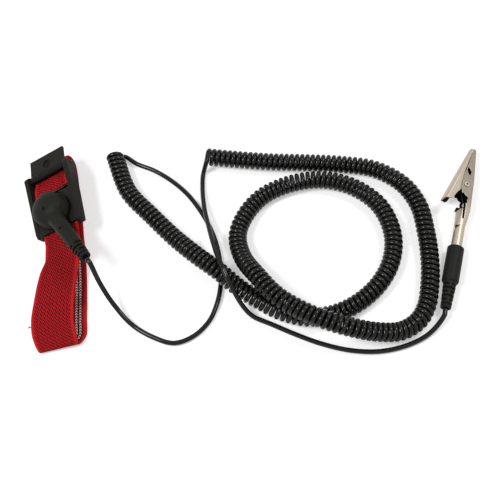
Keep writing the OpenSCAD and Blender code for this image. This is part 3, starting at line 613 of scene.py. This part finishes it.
def band_profile():
    """Points round the band's section: across, up from its middle, and 1 on the inner face."""
    half, edge, sunk, selvage_w = BAND_W / 2, 0.62, 0.12, 1.5
    face = np.linspace(-(half - edge), half - edge, 15)
    rim = [(math.sin(a), math.cos(a)) for a in np.radians(np.linspace(15, 165, 7))]

    def height(x):
        return BAND_T / 2 - (sunk if abs(x) < half - selvage_w else 0)

    outer = [(x, height(x), 0) for x in face]
    right = [(half - edge + edge * s, BAND_T / 2 * c, 0) for s, c in rim]
    inner = [(x, -height(x), 1) for x in face[::-1]]
    left = [(-(half - edge) - edge * s, -BAND_T / 2 * c, 0) for s, c in rim]
    return np.array(outer + right + inner + left)


def count_weft(along):
    """Distance along the weave, which is less than along the band where its fold is stretched."""
    fold_along, fold_share = (38, 50, 76, 88), (1, 0.79, 0.79, 1)
    share = np.interp(along, fold_along, fold_share)
    return np.concatenate([[0], np.cumsum(np.diff(along) * share[1:])])


def band_mesh(rings, profile, weft):
    """The band's skin over its rings, with its UV map across and along the weave."""
    mesh = bpy.data.meshes.new("woven_band")
    work = bmesh.new()
    uv, inside = work.loops.layers.uv.new("weave"), work.verts.layers.float.new("inside")
    corners = [[work.verts.new(p) for p in (ring + SHIFT) * MM] for ring in rings]
    for ring in corners:
        for corner, (_, _, inner) in zip(ring, profile):
            corner[inside] = inner
    count = len(profile)
    for i in range(len(corners) - 1):
        for j in range(count):
            k = (j + 1) % count
            face = work.faces.new((corners[i][j], corners[i][k], corners[i + 1][k], corners[i + 1][j]))
            face.smooth = True
            for loop, (u, v) in zip(face.loops, ((j, i), (k, i), (k, i + 1), (j, i + 1))):
                loop[uv].uv = profile[u, 0], weft[v]
    for ring in (corners[0], corners[-1]):
        work.faces.new(ring)
    bmesh.ops.recalc_face_normals(work, faces=work.faces)
    work.to_mesh(mesh)
    work.free()
    return mesh


def band():
    """The elastic band, swept along its line, with its loose fibres."""
    line = smooth(band_stations(), 10)
    centre, roll, yaw, share = line[:, :3].copy(), line[:, 3], line[:, 4], line[:, 5]
    centre[:, 2] = np.maximum(centre[:, 2], BAND_T / 2)
    width = np.array([turned("Z", y, turned("Y", -r, (1, 0, 0))) for r, y in zip(roll, yaw)])
    out = unit(np.cross(tangents(centre), width))
    width = share[:, None] * width
    profile, along = band_profile(), run_along(centre)
    across, up = profile[None, :, :1], profile[None, :, 1:2]
    rings = centre[:, None] + across * width[:, None] + up * out[:, None]
    rings[..., 2] = np.maximum(rings[..., 2], 0)
    piece = new_object("woven_band", band_mesh(rings, profile, count_weft(along)))
    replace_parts(finish_piece(piece, "webbing", "strap"), "wristband")
    along[-1] * MM
    loose_fibres(centre, width, out)


def loose_fibres(centre, width, out):
    """Short ends of yarn along the band's edges, and two tufts. A place is a station, a side and a length."""
    fibre_t, single_l = 0.13, 0.7
    left_tuft, right_tuft = [(83, -1, 1.5)] * 6, [(143, 1, 1.7)] * 7
    chance = np.random.default_rng(7)
    stations = [*chance.integers(55, 95, 22), *chance.integers(115, 155, 14)]
    places = [(i, chance.choice((-1, 1)), single_l) for i in stations] + left_tuft + right_tuft
    fibres = []
    for i, side, length in places:
        way = side * width[i] + chance.normal(0, 0.45, 3)
        curl = chance.normal(0, 0.5, 3)
        root = centre[i] + side * (BAND_W / 2 - 0.15) * width[i] + chance.uniform(-0.5, 0.5) * out[i]
        t = np.linspace(0, 1, 5)[:, None]
        line = root + length * (t * way / np.linalg.norm(way) + t * t * curl * 0.6)
        line[:, 2] = np.maximum(line[:, 2], 0.1)
        fibres.append(wire_along("loose_fibres", line + SHIFT, fibre_t, 4))
    pick(*fibres)
    bpy.ops.object.join()
    finish_piece(bpy.context.object, "webbing", "strap")


# ---- Moulded and pressed parts, from copies of their solids ----


def merged_copy(name, node):
    """A node's mesh as a new piece, its triangles joined and its flat faces whole. Left in edit mode."""
    piece = new_object(name, frame["nodes"][node].data.copy())
    pick(piece)
    bpy.ops.object.mode_set(mode="EDIT")
    bpy.ops.mesh.select_all(action="SELECT")
    bpy.ops.mesh.remove_doubles(threshold=0.002 * MM)
    bpy.ops.mesh.dissolve_limited(angle_limit=math.radians(2))
    return piece


def rounded(name, node, body, radius_mm, chosen):
    """The node with its chosen outer edges rounded; chosen takes an edge's middle and length, in mm."""
    sharp_turn = 0.6
    piece = merged_copy(name, node)
    mesh = bmesh.from_edit_mesh(piece.data)
    for edge in mesh.edges:
        sharp = len(edge.link_faces) == 2 and edge.is_convex and edge.calc_face_angle() > sharp_turn
        middle = (edge.verts[0].co + edge.verts[1].co) / 2
        edge.select_set(bool(sharp and chosen(seen_from_tray(middle), edge.calc_length() / MM)))
    bmesh.update_edit_mesh(piece.data)
    bpy.ops.mesh.bevel(offset=radius_mm * MM, segments=3, profile=0.5, clamp_overlap=False)
    bpy.ops.object.mode_set(mode="OBJECT")
    bpy.ops.object.shade_smooth_by_angle(angle=math.radians(35))
    piece.modifiers.new("flat_faces", "WEIGHTED_NORMAL").keep_sharp = True
    bpy.ops.object.modifier_apply(modifier="flat_faces")
    return stand_for(piece, node, body)


def draw_smooth(piece, rounds, group=""):
    """Draws the piece's surface smooth, or only the corners of a vertex group."""
    draw = piece.modifiers.new("soft", "SMOOTH")
    draw.factor, draw.iterations, draw.vertex_group = 0.5, rounds, group
    bpy.ops.object.modifier_apply(modifier="soft")


def flowed(name, node, body, voxel_mm, rounds, crease=None):
    """The node with its surface drawn smooth, and once more where crease, a weight by place, says."""
    crease_rounds = 90
    piece = merged_copy(name, node)
    bpy.ops.object.mode_set(mode="OBJECT")
    remesh = piece.modifiers.new("skin", "REMESH")
    remesh.mode, remesh.voxel_size = "VOXEL", voxel_mm * MM
    bpy.ops.object.modifier_apply(modifier="skin")
    if crease:
        group = piece.vertex_groups.new(name="crease")
        for corner in piece.data.vertices:
            group.add([corner.index], crease(seen_from_tray(corner.co)), "REPLACE")
    draw_smooth(piece, rounds)
    if crease:
        draw_smooth(piece, crease_rounds, "crease")
    bpy.ops.object.shade_smooth()
    return stand_for(piece, node, body)


def pressed(name, node, body, middle_x, jaw_shade=0):
    """A folded half of the clip, its edges drawn smooth, its inner faces marked for painted shade, and its
    jaw marked for painted shade that rises along the clip.
    """
    jaw_shade_from, jaw_shade_over = 19, 8
    piece = flowed(name, node, body, 0.16, 3)
    inside = piece.data.attributes.new("inside", "FLOAT", "POINT")
    for corner, mark in zip(piece.data.vertices, inside.data):
        spot = seen_from_clip(np.array(corner.co) / MM - SHIFT - PLUG_AT)
        way = seen_from_clip(np.array(corner.normal))
        from_middle = np.array([spot[0] - middle_x(spot[1]), spot[2]])
        inner = (way[0] * from_middle[0] + way[2] * from_middle[1]) < -0.15 * np.linalg.norm(from_middle)
        # Painted shade: the mark is 1 on inner faces, and elsewhere it rises along the clip towards the jaw,
        # darkening that half as shade.
        mark.value = 1 if inner else jaw_shade * min(1, max(0, (spot[1] - jaw_shade_from) / jaw_shade_over))
    return piece


def pitted(piece, pits):
    """Small round pits in a piece, each with its place, radius and depth in millimetres."""
    for corner in piece.data.vertices:
        for middle, radius, depth in pits:
            share = 1 - (np.linalg.norm(np.array(corner.co) / MM - middle) / radius) ** 2
            if share > 0:
                corner.co -= corner.normal * depth * share * MM


def neck_root(spot):
    """1 where the connector's neck leaves its head, fading to 0 away from it."""
    root, fade = 8.6, 4.5
    turn = math.radians(NECK_TURN)
    reach = spot[0] * math.sin(turn) - (spot[1] - STUD_Y) * math.cos(turn)
    return float(max(0, 1 - abs(reach - root) / fade))


def cheek_edge(spot, length):
    """An edge on the outside of the buckle's cheeks, apart from the hinge pin's holes."""
    pin_hole = 1.2
    return abs(spot[0]) > TRAY_IN / 2 + 0.05 and math.hypot(spot[1] - PIN_Y, spot[2] - PIN_Z) > pin_hole


def cover_edge(spot, length):
    """A long edge on the top of the stud's cover."""
    return length > 3 and spot[2] > 4


def lever_edge(spot, length):
    """An edge of the lever's plate, past its barrel and longer than its teeth's."""
    return length > 1 and spot[1] > PIN_Y + 3


def any_edge(spot, length):
    return True


def fixed_middle(y):
    """Middle of the clip's fixed half, at a distance along the clip."""
    return 0


def thumb_middle(y):
    """Middle of the clip's thumb half, which leans away from the fixed half."""
    return -9.8 + 0.287 * (y - 23.5)


def moulded_parts():
    """The parts with broken edges and the smooth skins. Returns the plug's sleeve and the clip's pieces."""
    rounded("buckle_frame", "buckle_base", "strap", 0.4, cheek_edge)
    rounded("stud_cover", "snap_plate", "strap", 0.2, cover_edge)
    rounded("flip_lever", "clamp_lever", "lever", 0.25, lever_edge)
    connector = flowed("connector_body", "connector_shell", "connector", 0.25, 6, neck_root)
    pitted(connector, [(*HEAD_PIT, 1), (*NECK_PIT, 0.9)])
    return [
        rounded("clip_pivot", "clip_rivet", "clip", 0.28, any_edge),
        flowed("plug_sleeve", "plug_boot", "strap", 0.2, 5),
        # Painted shade darkens the fixed half towards its jaw.
        pressed("clip_channel", "clip_body", "clip", fixed_middle, jaw_shade=0.36),
        pressed("clip_thumb_half", "clip_jaw", "jaw", thumb_middle),
    ]


# ---- Studio, in metres ----

STUDIO_MIDDLE, FLOOR_SIZE = Vector((0.1, 0, 0)), 8
FLOOR_GLOW, SKY_LIGHT = 0.45, 0.18
SOFTBOX_SIZE = 0.2
SOFTBOXES = {"left_softbox": ((-0.25, -0.15, 0.55), 2.6), "right_softbox": ((0.42, 0.2, 0.6), 1.7)}


def floor():
    """Plain pale floor. What the camera sees of it is lifted to white, and the object's shadow stays."""
    under = Vector((0, 0, 0.0002))
    bpy.ops.mesh.primitive_plane_add(size=FLOOR_SIZE, location=STUDIO_MIDDLE - under)
    plane = bpy.context.object
    pale = {"Base Color": (0.86, 0.86, 0.86, 1), "Roughness": 0.9, "Specular IOR Level": 0.1}
    white = Finish("floor_white", {**pale, "Emission Strength": 1})
    white.set("Emission Color", white.seen_rays() * FLOOR_GLOW)
    plane.data.materials.append(white.material)


def sky():
    """Even surroundings: white to the eye and in a gloss, and a plain low light on the object."""
    world = bpy.data.worlds.new("studio")
    bpy.context.scene.world = world
    world.use_nodes = True
    nodes, background = Nodes(world.node_tree), world.node_tree.nodes["Background"]
    background.inputs["Color"].default_value = (1, 1, 1, 1)
    nodes.feed(background, "Strength", nodes.seen_rays() * (1 - SKY_LIGHT) + SKY_LIGHT)


def lamps():
    """Two soft lamps, turned to the object's middle."""
    for name, (place, power) in SOFTBOXES.items():
        lamp = bpy.data.lights.new(name, "AREA")
        lamp.size, lamp.energy = SOFTBOX_SIZE, power
        box = new_object(name, lamp)
        box.location = place
        box.rotation_euler = (STUDIO_MIDDLE - box.location).to_track_quat("-Z", "Y").to_euler()


def camera():
    """Looks down at the laid-out strap from in front."""
    down, distance, aim_x_mm = math.radians(62.5), 0.392, 95.5
    lens = bpy.data.cameras.new("camera")
    lens.lens = 57.6
    eye = new_object("camera", lens)
    aim = Vector((aim_x_mm + SHIFT[0], SHIFT[1], 0)) * MM
    eye.location = aim + distance * Vector((0, -math.cos(down), math.sin(down)))
    eye.rotation_euler = (math.pi / 2 - down, 0, 0)
    bpy.context.scene.camera = eye
    bpy.context.scene.view_settings.view_transform = "Standard"


finish_cad_nodes()
cords(moulded_parts())
band()
floor()
sky()
lamps()
camera()
